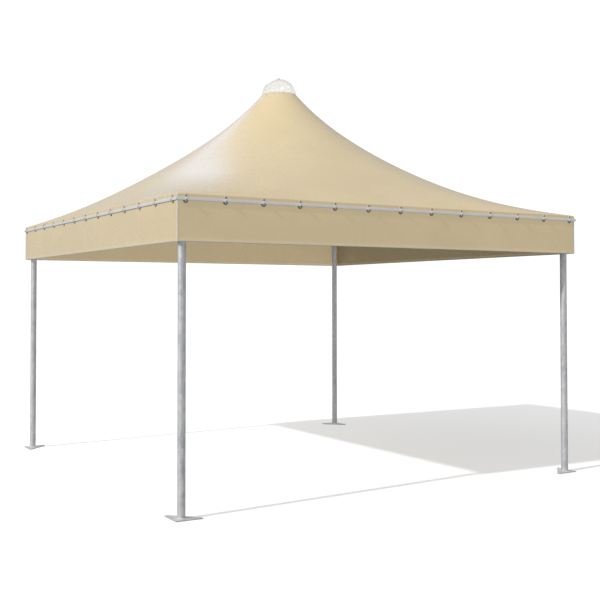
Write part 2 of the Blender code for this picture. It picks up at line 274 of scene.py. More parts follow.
def zinc_spangle():
    """Hot-dip zinc: frozen crystals of unequal grey, over soft blotches where the zinc has dulled."""
    group, given, result = new_group(
        "Zinc spangle",
        {"Crystal Size": 0.012, "Dulling": 0.5},
        {"Colour": "NodeSocketColor", "Roughness": "NodeSocketFloat", "Height": "NodeSocketFloat"},
    )
    place = stretched(group, place_on(group), (1, 1, 0.4))
    wander = stretched(group, cloudy(group, place, 34, 2)["Color"], (0.012, 0.012, 0.012))
    bent = add(group, "ShaderNodeVectorMath", {0: place, 1: wander}, operation="ADD").outputs[0]
    tightness = calc(group, "DIVIDE", 1.0, given["Crystal Size"])
    crystals = add(group, "ShaderNodeTexVoronoi", {"Vector": bent, "Scale": tightness})
    crystal = add(group, "ShaderNodeSeparateColor", {"Color": crystals.outputs["Color"]})
    blotch = ranged(group, cloudy(group, place, 13, 5, 0.62)["Fac"], (0.34, 0.66))
    dulled = calc(group, "MULTIPLY", blotch, given["Dulling"])
    grain = ranged(group, crystal.outputs["Red"], target=(0, 0.62))
    tone = calc(group, "ADD", grain, dulled, use_clamp=True)
    colour = toned(
        group,
        tone,
        (0, (0.370, 0.375, 0.392)),
        (0.45, (0.475, 0.480, 0.492)),
        (1, (0.580, 0.580, 0.573)),
    )
    group.links.new(colour, result["Colour"])
    group.links.new(ranged(group, tone, target=(0.60, 0.50)), result["Roughness"])
    group.links.new(tone, result["Height"])
    return group


SPANGLE = zinc_spangle()
SPANGLE_RELIEF = 0.0004
# A darker grey that the lowest part of a piece takes, so the piece turns darker towards the bottom.
LOW_DARKER_COLOUR = (0.270, 0.265, 0.262, 1)
LOW_DARKER_FADE = 0.7  # share of the darkened height where the darkening starts to thin out


def galvanised(name, crystal_size, dulling, relief, metallic=0.55, darker_below=0.0):
    """Galvanised steel, darker towards the bottom: what lies below the given height takes a darker
    grey.
    """
    material, tree, shader = new_finish(name)
    sizes = {"Crystal Size": crystal_size, "Dulling": dulling}
    zinc = add(tree, "ShaderNodeGroup", sizes, node_tree=SPANGLE).outputs
    colour = zinc["Colour"]
    if darker_below:
        height = add(tree, "ShaderNodeSeparateXYZ", {"Vector": place_on(tree)}).outputs["Z"]
        low_darkening = ranged(tree, height, (darker_below * LOW_DARKER_FADE, darker_below), (1, 0))
        colour = mix_colours(tree, low_darkening, colour, LOW_DARKER_COLOUR)
    normal = bumped(tree, zinc["Height"], relief, SPANGLE_RELIEF)
    plug(tree, shader, {"Base Color": colour, "Roughness": zinc["Roughness"], "Normal": normal})
    shader.inputs["Metallic"].default_value = metallic
    return material


def prism(shape, outline, bottom, top, matrix=Matrix.Identity(4)):
    """Adds an upright prism over an outline that runs anticlockwise."""
    low = [shape.verts.new(matrix @ Vector((x, y, bottom))) for x, y in outline]
    high = [shape.verts.new(matrix @ Vector((x, y, top))) for x, y in outline]
    shape.faces.new(low[::-1])
    shape.faces.new(high)
    for i in range(len(outline)):
        j = (i + 1) % len(outline)
        shape.faces.new((low[i], low[j], high[j], high[i]))


def rounded(outline, radius, steps=4):
    """The outline with each corner turned into a short curve."""
    softened = []
    for i, corner in enumerate(outline):
        here = Vector(corner)
        before = (Vector(outline[i - 1]) - here).normalized()
        after = (Vector(outline[(i + 1) % len(outline)]) - here).normalized()
        start, end = here + before * radius, here + after * radius
        for step in range(steps + 1):
            t = step / steps
            softened.append(start * (1 - t) ** 2 + here * 2 * t * (1 - t) + end * t**2)
    return [tuple(point) for point in softened]


def lathe(shape, profile, steps, matrix=Matrix.Identity(4)):
    """Adds a body turned about Z from (radius, height) points that run from one end to the other."""
    rows = []
    for radius, height in profile:
        if radius == 0:
            rows.append([shape.verts.new(matrix @ Vector((0, 0, height)))])
            continue
        row = []
        for step in range(steps):
            angle = 2 * math.pi * step / steps
            point = Vector((radius * math.cos(angle), radius * math.sin(angle), height))
            row.append(shape.verts.new(matrix @ point))
        rows.append(row)
    for upper, lower in zip(rows, rows[1:]):
        for step in range(steps):
            ahead = (step + 1) % steps
            if len(upper) == 1:
                shape.faces.new((upper[0], lower[step], lower[ahead]))
            elif len(lower) == 1:
                shape.faces.new((upper[step], lower[0], upper[ahead]))
            else:
                shape.faces.new((upper[step], lower[step], lower[ahead], upper[ahead]))


def mesh_from(shape, name, sharp_over=38):
    """The finished mesh, smooth but for its sharp edges."""
    bmesh.ops.recalc_face_normals(shape, faces=shape.faces)
    mesh = bpy.data.meshes.new(name)
    shape.to_mesh(mesh)
    shape.free()
    mesh.shade_smooth()
    mesh.set_sharp_from_angle(angle=math.radians(sharp_over))
    return mesh


def fit(name, mesh, material, nodes=(), turn=0, edge=0.0):
    """Puts a piece on the frame after the given number of quarter turns, in place of its CAD nodes."""
    turned = mesh.copy()
    turned.name = name
    turned.transform(Matrix.Rotation(turn * math.pi / 2, 4, "Z"))
    turned.materials.clear()
    turned.materials.append(material)
    piece = bpy.data.objects.new(name, turned)
    bpy.context.scene.collection.objects.link(piece)
    if edge:
        softening = piece.modifiers.new("softened_edges", "BEVEL")
        softening.width = edge
        softening.segments = 2
        softening.limit_method = "ANGLE"
        softening.angle_limit = math.radians(40)
        softening.harden_normals = True
    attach(piece, "root")
    if nodes:
        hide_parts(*nodes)
    return piece


# The plate is darker towards the bottom: its sides below 7.4 mm take a darker grey.
plate_zinc = galvanised(
    "galvanised_plate", 0.016, 0.50, 0.35, metallic=0.25, darker_below=0.0074
)
weld_zinc = galvanised("galvanised_weld", 0.006, 0.05, 0.80, metallic=0.15)

plate_outline = [
    (-HALF_WIDTH, -HALF_WIDTH),
    (-HALF_WIDTH + PLATE_LEG, -HALF_WIDTH),
    (-HALF_WIDTH + PLATE_LEG, -HALF_WIDTH + PLATE_TIP),
    (-HALF_WIDTH + PLATE_TIP, -HALF_WIDTH + PLATE_LEG),
    (-HALF_WIDTH, -HALF_WIDTH + PLATE_LEG),
]
plate_shape = bmesh.new()
prism(plate_shape, rounded(plate_outline, PLATE_ROUNDING), 0, PLATE_THICKNESS)
plate = mesh_from(plate_shape, "base_plate")


def weld_bead(shape, radius, size, height, ripples, matrix=Matrix.Identity(4), sides=8):
    """Adds a fillet weld round a tube: a ring whose section swells at each ripple."""
    steps = ripples * 4
    rings = []
    for step in range(steps):
        angle = 2 * math.pi * step / steps
        swell = size * (0.90 + 0.14 * abs(math.sin(ripples * angle / 2)))
        swell *= 1 + 0.10 * noise.noise(Vector((math.cos(angle) * 3, math.sin(angle) * 3, height)))
        ring = []
        for side in range(sides):
            round_it = 2 * math.pi * side / sides
            across = radius + swell * math.cos(round_it)
            up = height + swell * math.sin(round_it)
            point = Vector((across * math.cos(angle), across * math.sin(angle), up))
            ring.append(shape.verts.new(matrix @ point))
        rings.append(ring)
    for ring, following in zip(rings, rings[1:] + rings[:1]):
        for side in range(sides):
            ahead = (side + 1) % sides
            shape.faces.new((ring[side], following[side], following[ahead], ring[ahead]))


foot_weld_shape = bmesh.new()
at_post = Matrix.Translation((-POST_PLACE, -POST_PLACE, 0))
weld_bead(foot_weld_shape, POST_RADIUS, WELD_SIZE, PLATE_THICKNESS, WELD_RIPPLES, at_post)
foot_weld = mesh_from(foot_weld_shape, "foot_weld", sharp_over=80)

for turn, corner in enumerate(CORNERS):
    fit(
        f"plate_{corner}",
        plate,
        plate_zinc,
        [f"base_plate_{corner}"],
        turn,
        PLATE_EDGE,
    )
    fit(f"foot_weld_{corner}", foot_weld, weld_zinc, (), turn)


# Posts: 60 mm round steel tubes, hot-dip galvanised after welding, standing upright from the base
# plates to the corner brackets.

SEAT_GAP = 0.0003  # left between pieces that rest on each other
POST_BOTTOM = PLATE_THICKNESS + SEAT_GAP
POST_TOP = 2.2801
POST_STEPS = 72
POST_CHAMFER = 0.0015

tube_zinc = galvanised("galvanised_tube", 0.018, 0.55, 0.25)
post_shape = bmesh.new()
post_profile = [
    (0, POST_TOP),
    (POST_RADIUS - POST_CHAMFER, POST_TOP),
    (POST_RADIUS, POST_TOP - POST_CHAMFER),
    (POST_RADIUS, POST_BOTTOM + POST_CHAMFER),
    (POST_RADIUS - POST_CHAMFER, POST_BOTTOM),
    (0, POST_BOTTOM),
]
lathe(post_shape, post_profile, POST_STEPS, at_post)
post = mesh_from(post_shape, "post")
for turn, corner in enumerate(CORNERS):
    fit(f"post_tube_{corner}", post, tube_zinc, [f"post_{corner}"], turn)


# Corner brackets: a galvanised plate on each post's head, an upright angle bolted inside the corner of
# the two eave beams, and a lug on the diagonal with the hole for the stay's pin.

BEAM_OUTER = 1.9957
BEAM_INNER = 1.9357
BEAM_BOTTOM = 2.2887
BEAM_TOP = 2.3487
BRACKET_BOTTOM = 2.2804
BRACKET_TOP = 2.2884
BRACKET_SIDE = 0.130
BRACKET_ROUNDING = 0.008
CLEAT_THICKNESS = 0.006
CLEAT_HEIGHT = 0.050
CLEAT_SUNK = 0.002  # how far the angle and the lug sink into the plate they are welded to
LUG_THICKNESS = 0.012
LUG_REACH = 0.060
LUG_HEIGHT = 0.040
LUG_ROOT = 0.004
BOLT_ACROSS = 0.0075  # hexagon's corner to its middle, for an 8 mm bolt
BOLT_CROWN = 0.84  # share of the hexagon that its flat top keeps
BOLT_HEAD = 0.0053
BOLT_PLACES = (0.024, 0.048)
BOLT_RISE = 0.55  # share of the angle's height
BOLT_INSET = 0.030
WASHER_RADIUS = 0.0085
WASHER_THICKNESS = 0.0015
THIN_WELD = WELD_SIZE * 0.8

bracket_zinc = galvanised("galvanised_bracket", 0.010, 0.45, 0.30)
bolt_zinc = galvanised("galvanised_bolt", 0.004, 0.25, 0.20)

bracket_edge = -BEAM_OUTER
bracket_inner = bracket_edge + BRACKET_SIDE
cleat_corner = -BEAM_INNER + SEAT_GAP
cleat_wall = cleat_corner + CLEAT_THICKNESS
cleat_end = bracket_inner - CLEAT_THICKNESS
bracket_shape = bmesh.new()
bracket_square = [
    (bracket_edge, bracket_edge),
    (bracket_inner, bracket_edge),
    (bracket_inner, bracket_inner),
    (bracket_edge, bracket_inner),
]
prism(bracket_shape, rounded(bracket_square, BRACKET_ROUNDING), BRACKET_BOTTOM, BRACKET_TOP)
cleat_outline = [
    (cleat_corner, cleat_corner),
    (cleat_end, cleat_corner),
    (cleat_end, cleat_wall),
    (cleat_wall, cleat_wall),
    (cleat_wall, cleat_end),
    (cleat_corner, cleat_end),
]
prism(bracket_shape, cleat_outline, BRACKET_TOP - CLEAT_SUNK, BRACKET_TOP + CLEAT_HEIGHT)
on_diagonal = Matrix.Translation((cleat_wall, cleat_wall, 0)) @ Matrix.Rotation(math.pi / 4, 4, "Z")
half_lug = LUG_THICKNESS / 2
lug_outline = [
    (-LUG_ROOT, -half_lug),
    (LUG_REACH, -half_lug),
    (LUG_REACH, half_lug),
    (-LUG_ROOT, half_lug),
]
prism(bracket_shape, lug_outline, BRACKET_TOP - CLEAT_SUNK, BRACKET_TOP + LUG_HEIGHT, on_diagonal)
bracket = mesh_from(bracket_shape, "corner_bracket")


def add_bolt(shape, at, facing):
    """A hexagon head on a washer, at a point and facing along a direction."""
    matrix = Matrix.Translation(at) @ Vector(facing).to_track_quat("Z", "Y").to_matrix().to_4x4()
    lathe(
        shape,
        [(0, WASHER_THICKNESS), (WASHER_RADIUS, WASHER_THICKNESS), (WASHER_RADIUS, 0), (0, 0)],
        steps=24,
        matrix=matrix,
    )
    top = WASHER_THICKNESS + BOLT_HEAD
    lathe(
        shape,
        [
            (0, top),
            (BOLT_ACROSS * BOLT_CROWN, top),
            (BOLT_ACROSS, top - 0.0009),
            (BOLT_ACROSS, WASHER_THICKNESS),
            (0, WASHER_THICKNESS),
        ],
        steps=6,
        matrix=matrix,
    )


bolts_shape = bmesh.new()
bolt_height = BRACKET_TOP + CLEAT_HEIGHT * BOLT_RISE
for along in BOLT_PLACES:
    add_bolt(bolts_shape, (cleat_wall + along, cleat_wall, bolt_height), (0, 1, 0))
    add_bolt(bolts_shape, (cleat_wall, cleat_wall + along, bolt_height), (1, 0, 0))
    near, far = bracket_edge + BOLT_INSET, bracket_edge + 2 * BOLT_INSET + along
    add_bolt(bolts_shape, (near, far, BRACKET_BOTTOM), (0, 0, -1))
    add_bolt(bolts_shape, (far, near, BRACKET_BOTTOM), (0, 0, -1))
bolts = mesh_from(bolts_shape, "bracket_bolts", sharp_over=25)

head_weld_shape = bmesh.new()
weld_bead(head_weld_shape, POST_RADIUS, THIN_WELD, BRACKET_BOTTOM, WELD_RIPPLES, at_post)
head_weld = mesh_from(head_weld_shape, "head_weld", sharp_over=80)

for turn, corner in enumerate(CORNERS):
    fit(
        f"bracket_{corner}",
        bracket,
        bracket_zinc,
        [f"corner_bracket_{corner}"],
        turn,
        edge=0.0009,
    )
    fit(f"bracket_bolts_{corner}", bolts, bolt_zinc, (), turn)
    fit(f"head_weld_{corner}", head_weld, weld_zinc, (), turn)


# Eave beams: galvanised square tubes of 60 mm with rounded edges, each butting on the side of the next
# and lying on the corner brackets, just behind the valances.

SIDES = ("front", "right", "back", "left")
BEAM_ROUNDING = 0.006

beam_shape = bmesh.new()
half_beam = (BEAM_OUTER - BEAM_INNER) / 2
beam_section = rounded(
    [
        (-half_beam, -half_beam),
        (half_beam, -half_beam),
        (half_beam, half_beam),
        (-half_beam, half_beam),
    ],
    BEAM_ROUNDING,
)
beam_middle = (0, -(BEAM_OUTER + BEAM_INNER) / 2, (BEAM_BOTTOM + BEAM_TOP) / 2)
lying = Matrix.Translation(beam_middle) @ Matrix.Rotation(math.pi / 2, 4, "Y")
prism(beam_shape, beam_section, -BEAM_INNER + SEAT_GAP, BEAM_OUTER, lying)
beam = mesh_from(beam_shape, "eave_beam", sharp_over=50)
for turn, side in enumerate(SIDES):
    fit(f"beam_{side}", beam, tube_zinc, [f"eave_beam_{side}"], turn, edge=0.0006)


# King pole: an octagonal steel foot that the stays end on, a 48 mm tube that stands on it, and a
# spun head with a boss, a plate and a rim that the membrane hangs on. All galvanised.

HUB_RADIUS = 0.055
HUB_BOTTOM = 2.230
HUB_TOP = 2.280
POLE_RADIUS = 0.02415
POLE_TOP = 3.5617
POLE_WELD_RIPPLES = 36
RING_TOP = 3.632
RING_EDGE = 0.1697
RING_RIM = 0.045
RING_WALL = 0.006
RING_PLATE = 0.010
BOSS_RADIUS = 0.038
BOSS_BOTTOM = RING_TOP - 0.070
HEAD_CORNER = 0.002
HEAD_FILLET = 0.003
GUSSETS = 8
GUSSET_DEPTH = 0.034
HALF_GUSSET = 0.003

hub_shape = bmesh.new()
hub_corner = HUB_RADIUS / math.cos(math.pi / 8)
lathe(
    hub_shape,
    [(0, HUB_TOP), (hub_corner, HUB_TOP), (hub_corner, HUB_BOTTOM), (0, HUB_BOTTOM)],
    steps=8,
    matrix=Matrix.Rotation(math.pi / 8, 4, "Z"),
)
hub = mesh_from(hub_shape, "king_pole_hub")
fit("king_pole_hub", hub, bracket_zinc, ["king_pole_foot"], edge=0.0015)

pole_shape = bmesh.new()
pole_bottom = HUB_TOP + SEAT_GAP
lathe(
    pole_shape,
    [
        (0, POLE_TOP),
        (POLE_RADIUS - POST_CHAMFER, POLE_TOP),
        (POLE_RADIUS, POLE_TOP - POST_CHAMFER),
        (POLE_RADIUS, pole_bottom + POST_CHAMFER),
        (POLE_RADIUS - POST_CHAMFER, pole_bottom),
        (0, pole_bottom),
    ],
    steps=64,
)
pole = mesh_from(pole_shape, "king_pole_tube")
fit("king_pole_tube", pole, tube_zinc, ["king_pole"])

pole_weld_shape = bmesh.new()
weld_bead(pole_weld_shape, POLE_RADIUS, THIN_WELD, HUB_TOP, POLE_WELD_RIPPLES)
pole_weld = mesh_from(pole_weld_shape, "king_pole_weld", sharp_over=80)
fit("king_pole_weld", pole_weld, weld_zinc)

head_shape = bmesh.new()
rim_inner = RING_EDGE - RING_WALL
lathe(
    head_shape,
    [
        (0, RING_TOP),
        (RING_EDGE - HEAD_FILLET, RING_TOP),
        (RING_EDGE - 0.0009, RING_TOP - 0.0009),
        (RING_EDGE, RING_TOP - HEAD_FILLET),
        (RING_EDGE, RING_TOP - RING_RIM + HEAD_CORNER),
        (RING_EDGE - HEAD_CORNER, RING_TOP - RING_RIM),
        (rim_inner + HEAD_CORNER, RING_TOP - RING_RIM),
        (rim_inner, RING_TOP - RING_RIM + HEAD_CORNER),
        (rim_inner, RING_TOP - RING_PLATE - HEAD_FILLET),
        (rim_inner - HEAD_FILLET, RING_TOP - RING_PLATE),
        (BOSS_RADIUS + 0.004, RING_TOP - RING_PLATE),
        (BOSS_RADIUS, RING_TOP - RING_PLATE - 0.004),
        (BOSS_RADIUS, BOSS_BOTTOM + HEAD_CORNER),
        (BOSS_RADIUS - HEAD_CORNER, BOSS_BOTTOM),
        (0, BOSS_BOTTOM),
    ],
    steps=96,
)
gusset_outline = [
    (BOSS_RADIUS - 0.002, -HALF_GUSSET),
    (rim_inner + 0.001, -HALF_GUSSET),
    (rim_inner + 0.001, HALF_GUSSET),
    (BOSS_RADIUS - 0.002, HALF_GUSSET),
]
for number in range(GUSSETS):
    spoke = Matrix.Rotation(2 * math.pi * (number + 0.5) / GUSSETS, 4, "Z")
    gusset_top = RING_TOP - RING_PLATE + 0.001
    prism(head_shape, gusset_outline, RING_TOP - GUSSET_DEPTH, gusset_top, spoke)
head = mesh_from(head_shape, "peak_head")
fit("peak_head", head, bracket_zinc, ["peak_ring"])


# Stays: four taut galvanised rods of 12 mm on the diagonals, from the corner brackets' lugs down to
# the king pole's foot, with a pinned fork at the top and a tensioning sleeve with its locknut below.

STAY_RADIUS = 0.006
STAY_FOOT_HEIGHT = 2.255
STAY_CLEAR = 0.0006  # left at each end
SOCKET_RADIUS = 0.012
SOCKET_LENGTH = 0.110
SHANK_RADIUS = 0.0092
LOCKNUT_RADIUS = 0.0098
THREAD_RADIUS = 0.0066
SLEEVE_END_RADIUS = 0.0095
FORK_DEPTH = 0.034
FORK_HALF_HEIGHT = 0.011
PIN_RADIUS = 0.005
PIN_HEAD_RADIUS = 0.0080
PIN_HEAD_TOP = 0.0165
PIN_HEAD_FOOT = 0.0122
PIN_TIP = -0.0185

lug_end = cleat_wall + (LUG_REACH + STAY_CLEAR) / math.sqrt(2)
lug_middle = BRACKET_TOP + LUG_HEIGHT / 2
stay_high = Vector((lug_end, lug_end, lug_middle))
hub_face = -(HUB_RADIUS + STAY_CLEAR) / math.sqrt(2)
stay_low = Vector((hub_face, hub_face, STAY_FOOT_HEIGHT))
stay_run = stay_high - stay_low
stay_length = stay_run.length
along_stay = Matrix.Translation(stay_low) @ stay_run.to_track_quat("Z", "Y").to_matrix().to_4x4()

stay_shape = bmesh.new()
lathe(
    stay_shape,
    [
        (0, stay_length),
        (SOCKET_RADIUS - 0.001, stay_length),
        (SOCKET_RADIUS, stay_length - 0.001),
        (SOCKET_RADIUS, stay_length - 0.040),
        (SHANK_RADIUS, stay_length - 0.046),
        (SHANK_RADIUS, stay_length - SOCKET_LENGTH),
        (STAY_RADIUS, stay_length - SOCKET_LENGTH - 0.014),
        (STAY_RADIUS, SOCKET_LENGTH + 0.052),
        (LOCKNUT_RADIUS, SOCKET_LENGTH + 0.052),
        (LOCKNUT_RADIUS, SOCKET_LENGTH + 0.044),
        (THREAD_RADIUS, SOCKET_LENGTH + 0.044),
        (THREAD_RADIUS, SOCKET_LENGTH + 0.012),
        (SOCKET_RADIUS - 0.002, SOCKET_LENGTH + 0.012),
        (SOCKET_RADIUS, SOCKET_LENGTH + 0.010),
        (SOCKET_RADIUS, 0.030),
        (SLEEVE_END_RADIUS, 0.022),
        (SLEEVE_END_RADIUS, 0),
        (0, 0),
    ],
    steps=32,
    matrix=along_stay,
)
stay = mesh_from(stay_shape, "stay", sharp_over=30)

fork_shape = bmesh.new()
for cheek in (-1, 1):
    cheek_sides = sorted((cheek * (half_lug + 0.0004), cheek * (SOCKET_RADIUS - 0.0005)))
    cheek_outline = [
        (LUG_REACH - FORK_DEPTH, cheek_sides[0]),
        (LUG_REACH + 0.004, cheek_sides[0]),
        (LUG_REACH + 0.004, cheek_sides[1]),
        (LUG_REACH - FORK_DEPTH, cheek_sides[1]),
    ]
    cheek_heights = lug_middle - FORK_HALF_HEIGHT, lug_middle + FORK_HALF_HEIGHT
    prism(fork_shape, cheek_outline, *cheek_heights, on_diagonal)
pin_place = on_diagonal @ Matrix.Translation((LUG_REACH - 0.018, 0, lug_middle))
pin_place = pin_place @ Matrix.Rotation(math.pi / 2, 4, "X")
lathe(
    fork_shape,
    [
        (0, PIN_HEAD_TOP),
        (PIN_HEAD_RADIUS - 0.0005, PIN_HEAD_TOP),
        (PIN_HEAD_RADIUS, PIN_HEAD_TOP - 0.0005),
        (PIN_HEAD_RADIUS, PIN_HEAD_FOOT),
        (PIN_RADIUS, PIN_HEAD_FOOT),
        (PIN_RADIUS, PIN_TIP + 0.001),
        (PIN_RADIUS - 0.001, PIN_TIP),
        (0, PIN_TIP),
    ],
    steps=24,
    matrix=pin_place,
)
fork = mesh_from(fork_shape, "stay_fork", sharp_over=30)
for turn, corner in enumerate(CORNERS):
    fit(f"stay_rod_{corner}", stay, tube_zinc, [f"stay_{corner}"], turn)
    fit(f"stay_fork_{corner}", fork, bolt_zinc, (), turn, edge=0.0007)


# Membrane: one tailored sheet of beige coated polyester, stretched from the round peak ring over the
# square eave and down to a rope hem that grey tape binds. It is round at the peak, turns square
# towards the eave, and hangs straight below the fold. It is slightly glossy, with a fine weave.

FOLD_HEIGHT = 2.3565
RING_HEIGHT = 3.634
RING_RADIUS = 0.170
STRAIGHT_SHARE = 0.80  # part of the rise that is a straight slope
SWEEP = 4.34  # how quickly the steep part below the ring dies out
SQUARENESS = 0.34  # how soon the round rings turn square
EAVE_EXPONENT = 300
SHEET = 0.0012
ROOF_ROWS = 54
ROOF_CROWDING = 2.2
LIP_REACH = 0.010  # how far the sheet turns in over the ring
LIP_CURVE = 0.0025
FOLD_ROWS = 5
FOLD_SHARE = 0.0018  # share of the roof that the rounded fold takes up
FOLD_DROP = 0.004
FOLD_HOLD = 0.003
VALANCE_ROWS = 16
COLUMNS = 104
HEM_HEIGHT = 2.006
HEM_BOW = 0.0015  # rise of the hem's middle over its ends
HEM_RADIUS = 0.0052
HEM_PROUD = 0.0020
HEM_START = 0.013  # over the hem's lower edge
HEM_STEPS = 7
HEM_FLAP = 0.028
FLAP_START = 0.012
FLAP_BEHIND = 0.0034
TAPE_HEIGHT = 0.0110
FITTINGS = 13  # on the rail of each side
FIRST_FITTING = 0.068  # from the corner
FITTING_SPACING = 2 * (HALF_WIDTH - FIRST_FITTING) / (FITTINGS - 1)
RAIL_HEIGHT = 2.3175
RIPPLE_DEPTH = 0.0009  # between two fittings
RIPPLE_DROP = 0.085  # from the rail to the ripples' middle
RIPPLE_REACH = 0.045
SLACK_DEPTH = 0.0022
CALM_EDGE = 0.06  # share of a side, at its ends, where the cloth lies flat
CORNER_SHARE = 0.995  # beyond it the cloth faces along the corner's diagonal


def roof_point(share, across):
    """The membrane's outer surface in the front side: share 0 at the ring to 1 at the eave."""
    angle = math.atan(across)
    exponent = EAVE_EXPONENT
    if share < 1:
        exponent = min(2 + SQUARENESS * share / (1 - share), EAVE_EXPONENT)
    size = math.cos(angle) ** exponent + abs(math.sin(angle)) ** exponent
    reach = HALF_WIDTH / size ** (1 / exponent)
    radius = RING_RADIUS + (reach - RING_RADIUS) * share
    fading = (math.exp(-SWEEP * share) - math.exp(-SWEEP)) / (1 - math.exp(-SWEEP))
    rise = STRAIGHT_SHARE * (1 - share) + (1 - STRAIGHT_SHARE) * fading
    height = FOLD_HEIGHT + (RING_HEIGHT - FOLD_HEIGHT) * rise
    return Vector((radius * math.sin(angle), -radius * math.cos(angle), height))


def membrane_column(across):
    """The points of one column, from the ring down to the end of the hem's flap, in the front side."""
    points = []
    lip = roof_point(0, across)
    inward = Vector((-lip.x, -lip.y, 0)).normalized()
    points.append(lip + inward * LIP_REACH - Vector((0, 0, 0.0002)))
    points.append(lip + inward * LIP_CURVE + Vector((0, 0, 0.0001)))
    for row in range(ROOF_ROWS + 1):
        share = 1 - (1 - row / ROOF_ROWS) ** ROOF_CROWDING
        points.append(roof_point(min(share, 1 - FOLD_SHARE), across))
        if share >= 1 - FOLD_SHARE:
            break
    eave = roof_point(1, across)
    above = points[-1]
    below = eave - Vector((0, 0, FOLD_DROP))
    for row in range(1, FOLD_ROWS + 1):
        t = row / FOLD_ROWS
        points.append(above * (1 - t) ** 2 + eave * 2 * t * (1 - t) + below * t**2)
    points.append(below - Vector((0, 0, FOLD_HOLD)))
    outward = Vector((eave.x, eave.y, 0)).normalized()
    if abs(across) < CORNER_SHARE:
        outward = Vector((0, -1, 0))
    hem = HEM_HEIGHT + HEM_BOW * (1 - across**2)
    valance_top = below.z - FOLD_HOLD
    drop = valance_top - (hem + HEM_START)
    phase = 2 * math.pi * (eave.x + HALF_WIDTH - FIRST_FITTING) / FITTING_SPACING
    edge_calm = min(1, (1 - abs(across)) / CALM_EDGE)
    for row in range(1, VALANCE_ROWS + 1):
        down = row / VALANCE_ROWS
        height = valance_top - drop * down
        pull = math.exp(-(((height - RAIL_HEIGHT + RIPPLE_DROP) / RIPPLE_REACH) ** 2)) * edge_calm
        ripple = RIPPLE_DEPTH * (0.5 - 0.5 * math.cos(phase)) * pull
        slack = SLACK_DEPTH * math.sin(math.pi * down) ** 2 * edge_calm
        slack *= 0.5 + noise.noise(Vector((eave.x * 1.3, eave.y * 1.3, height * 1.5)))
        points.append(Vector((eave.x, eave.y, height)) + outward * (ripple + slack))
    middle = Vector((eave.x, eave.y, hem + HEM_RADIUS)) - outward * (HEM_RADIUS - HEM_PROUD)
    for step in range(HEM_STEPS + 1):
        angle = -math.pi * step / HEM_STEPS
        turn_out = outward * (HEM_RADIUS * math.cos(angle))
        points.append(middle + turn_out + Vector((0, 0, HEM_RADIUS * math.sin(angle))))
    flap = Vector((eave.x, eave.y, hem)) - outward * FLAP_BEHIND
    points.append(flap + Vector((0, 0, FLAP_START)))
    points.append(flap + Vector((0, 0, HEM_FLAP)))
    return points


membrane_shape = bmesh.new()
columns = []
for turn in range(4):
    quarter = Matrix.Rotation(turn * math.pi / 2, 4, "Z")
    for column in range(COLUMNS):
        across = math.sin((2 * column / COLUMNS - 1) * math.pi / 2)
        columns.append([membrane_shape.verts.new(quarter @ point) for point in membrane_column(across)])
for left, right in zip(columns, columns[1:] + columns[:1]):
    for i in range(len(left) - 1):
        membrane_shape.faces.new((left[i], left[i + 1], right[i + 1], right[i]))
membrane_mesh = mesh_from(membrane_shape, "membrane", sharp_over=60)


def coated_weave():
    """Coated cloth: the scrim's threads pressing through the coating, with a fine grain over them."""
    group, given, result = new_group(
        "Coated weave", {"Thread Pitch": 0.0022, "Grain": 0.35}, {"Height": "NodeSocketFloat"}
    )
    place = place_on(group)
    threads = add(group, "ShaderNodeSeparateXYZ", {"Vector": place}).outputs
    rate = calc(group, "DIVIDE", 2 * math.pi, given["Thread Pitch"])
    waves = [calc(group, "SINE", calc(group, "MULTIPLY", threads[axis], rate)) for axis in "XYZ"]
    crossing = calc(group, "ADD", calc(group, "ADD", waves[0], waves[1]), waves[2])
    grain = calc(group, "MULTIPLY", cloudy(group, place, 900, 2)["Fac"], given["Grain"])
    height = calc(group, "ADD", ranged(group, crossing, (-3, 3)), grain)
    group.links.new(height, result["Height"])
    return group


def outdoor_dust():
    """Weathering: cloudy dust, and faint runs that water leaves down a wall."""
    group, given, result = new_group(
        "Outdoor dust", {"Cloud Size": 0.6, "Runs": 0.3}, {"Mask": "NodeSocketFloat"}
    )
    place = place_on(group)
    rate = calc(group, "DIVIDE", 1.0, given["Cloud Size"])
    cloud = ranged(group, cloudy(group, place, rate, 6, 0.6)["Fac"], (0.35, 0.72))
    drawn = stretched(group, place, (26, 26, 1.1))
    streak = ranged(group, cloudy(group, drawn, 1.0, 3)["Fac"], (0.52, 0.80))
    run = calc(group, "MULTIPLY", streak, given["Runs"])
    group.links.new(calc(group, "ADD", cloud, run, use_clamp=True), result["Mask"])
    return group


WEAVE = coated_weave()
DUST = outdoor_dust()

MEMBRANE_CLEAN = (0.518, 0.424, 0.260, 1)
MEMBRANE_DUSTY = (0.478, 0.393, 0.244, 1)
HEM_TAPE = (0.430, 0.420, 0.350, 1)
DUST_DULLING = 0.04  # roughness that full dust adds
WEAVE_RELIEF = 0.0003


def coated_cloth(name, clean, dusty, roughness, weave_strength, tape_top=0.0):
    """Coated cloth, with the hem's grey tape on what lies below tape_top."""
    material, tree, shader = new_finish(name)
    weave = add(tree, "ShaderNodeGroup", node_tree=WEAVE).outputs["Height"]
    dust = add(tree, "ShaderNodeGroup", node_tree=DUST).outputs["Mask"]
    colour = mix_colours(tree, dust, clean, dusty)
    if tape_top:
        height = add(tree, "ShaderNodeSeparateXYZ", {"Vector": place_on(tree)}).outputs["Z"]
        colour = mix_colours(tree, calc(tree, "LESS_THAN", height, tape_top), colour, HEM_TAPE)
    sheen = ranged(tree, dust, target=(roughness, roughness + DUST_DULLING))
    normal = bumped(tree, weave, weave_strength, WEAVE_RELIEF)
    plug(tree, shader, {"Base Color": colour, "Roughness": sheen, "Normal": normal})
    return material


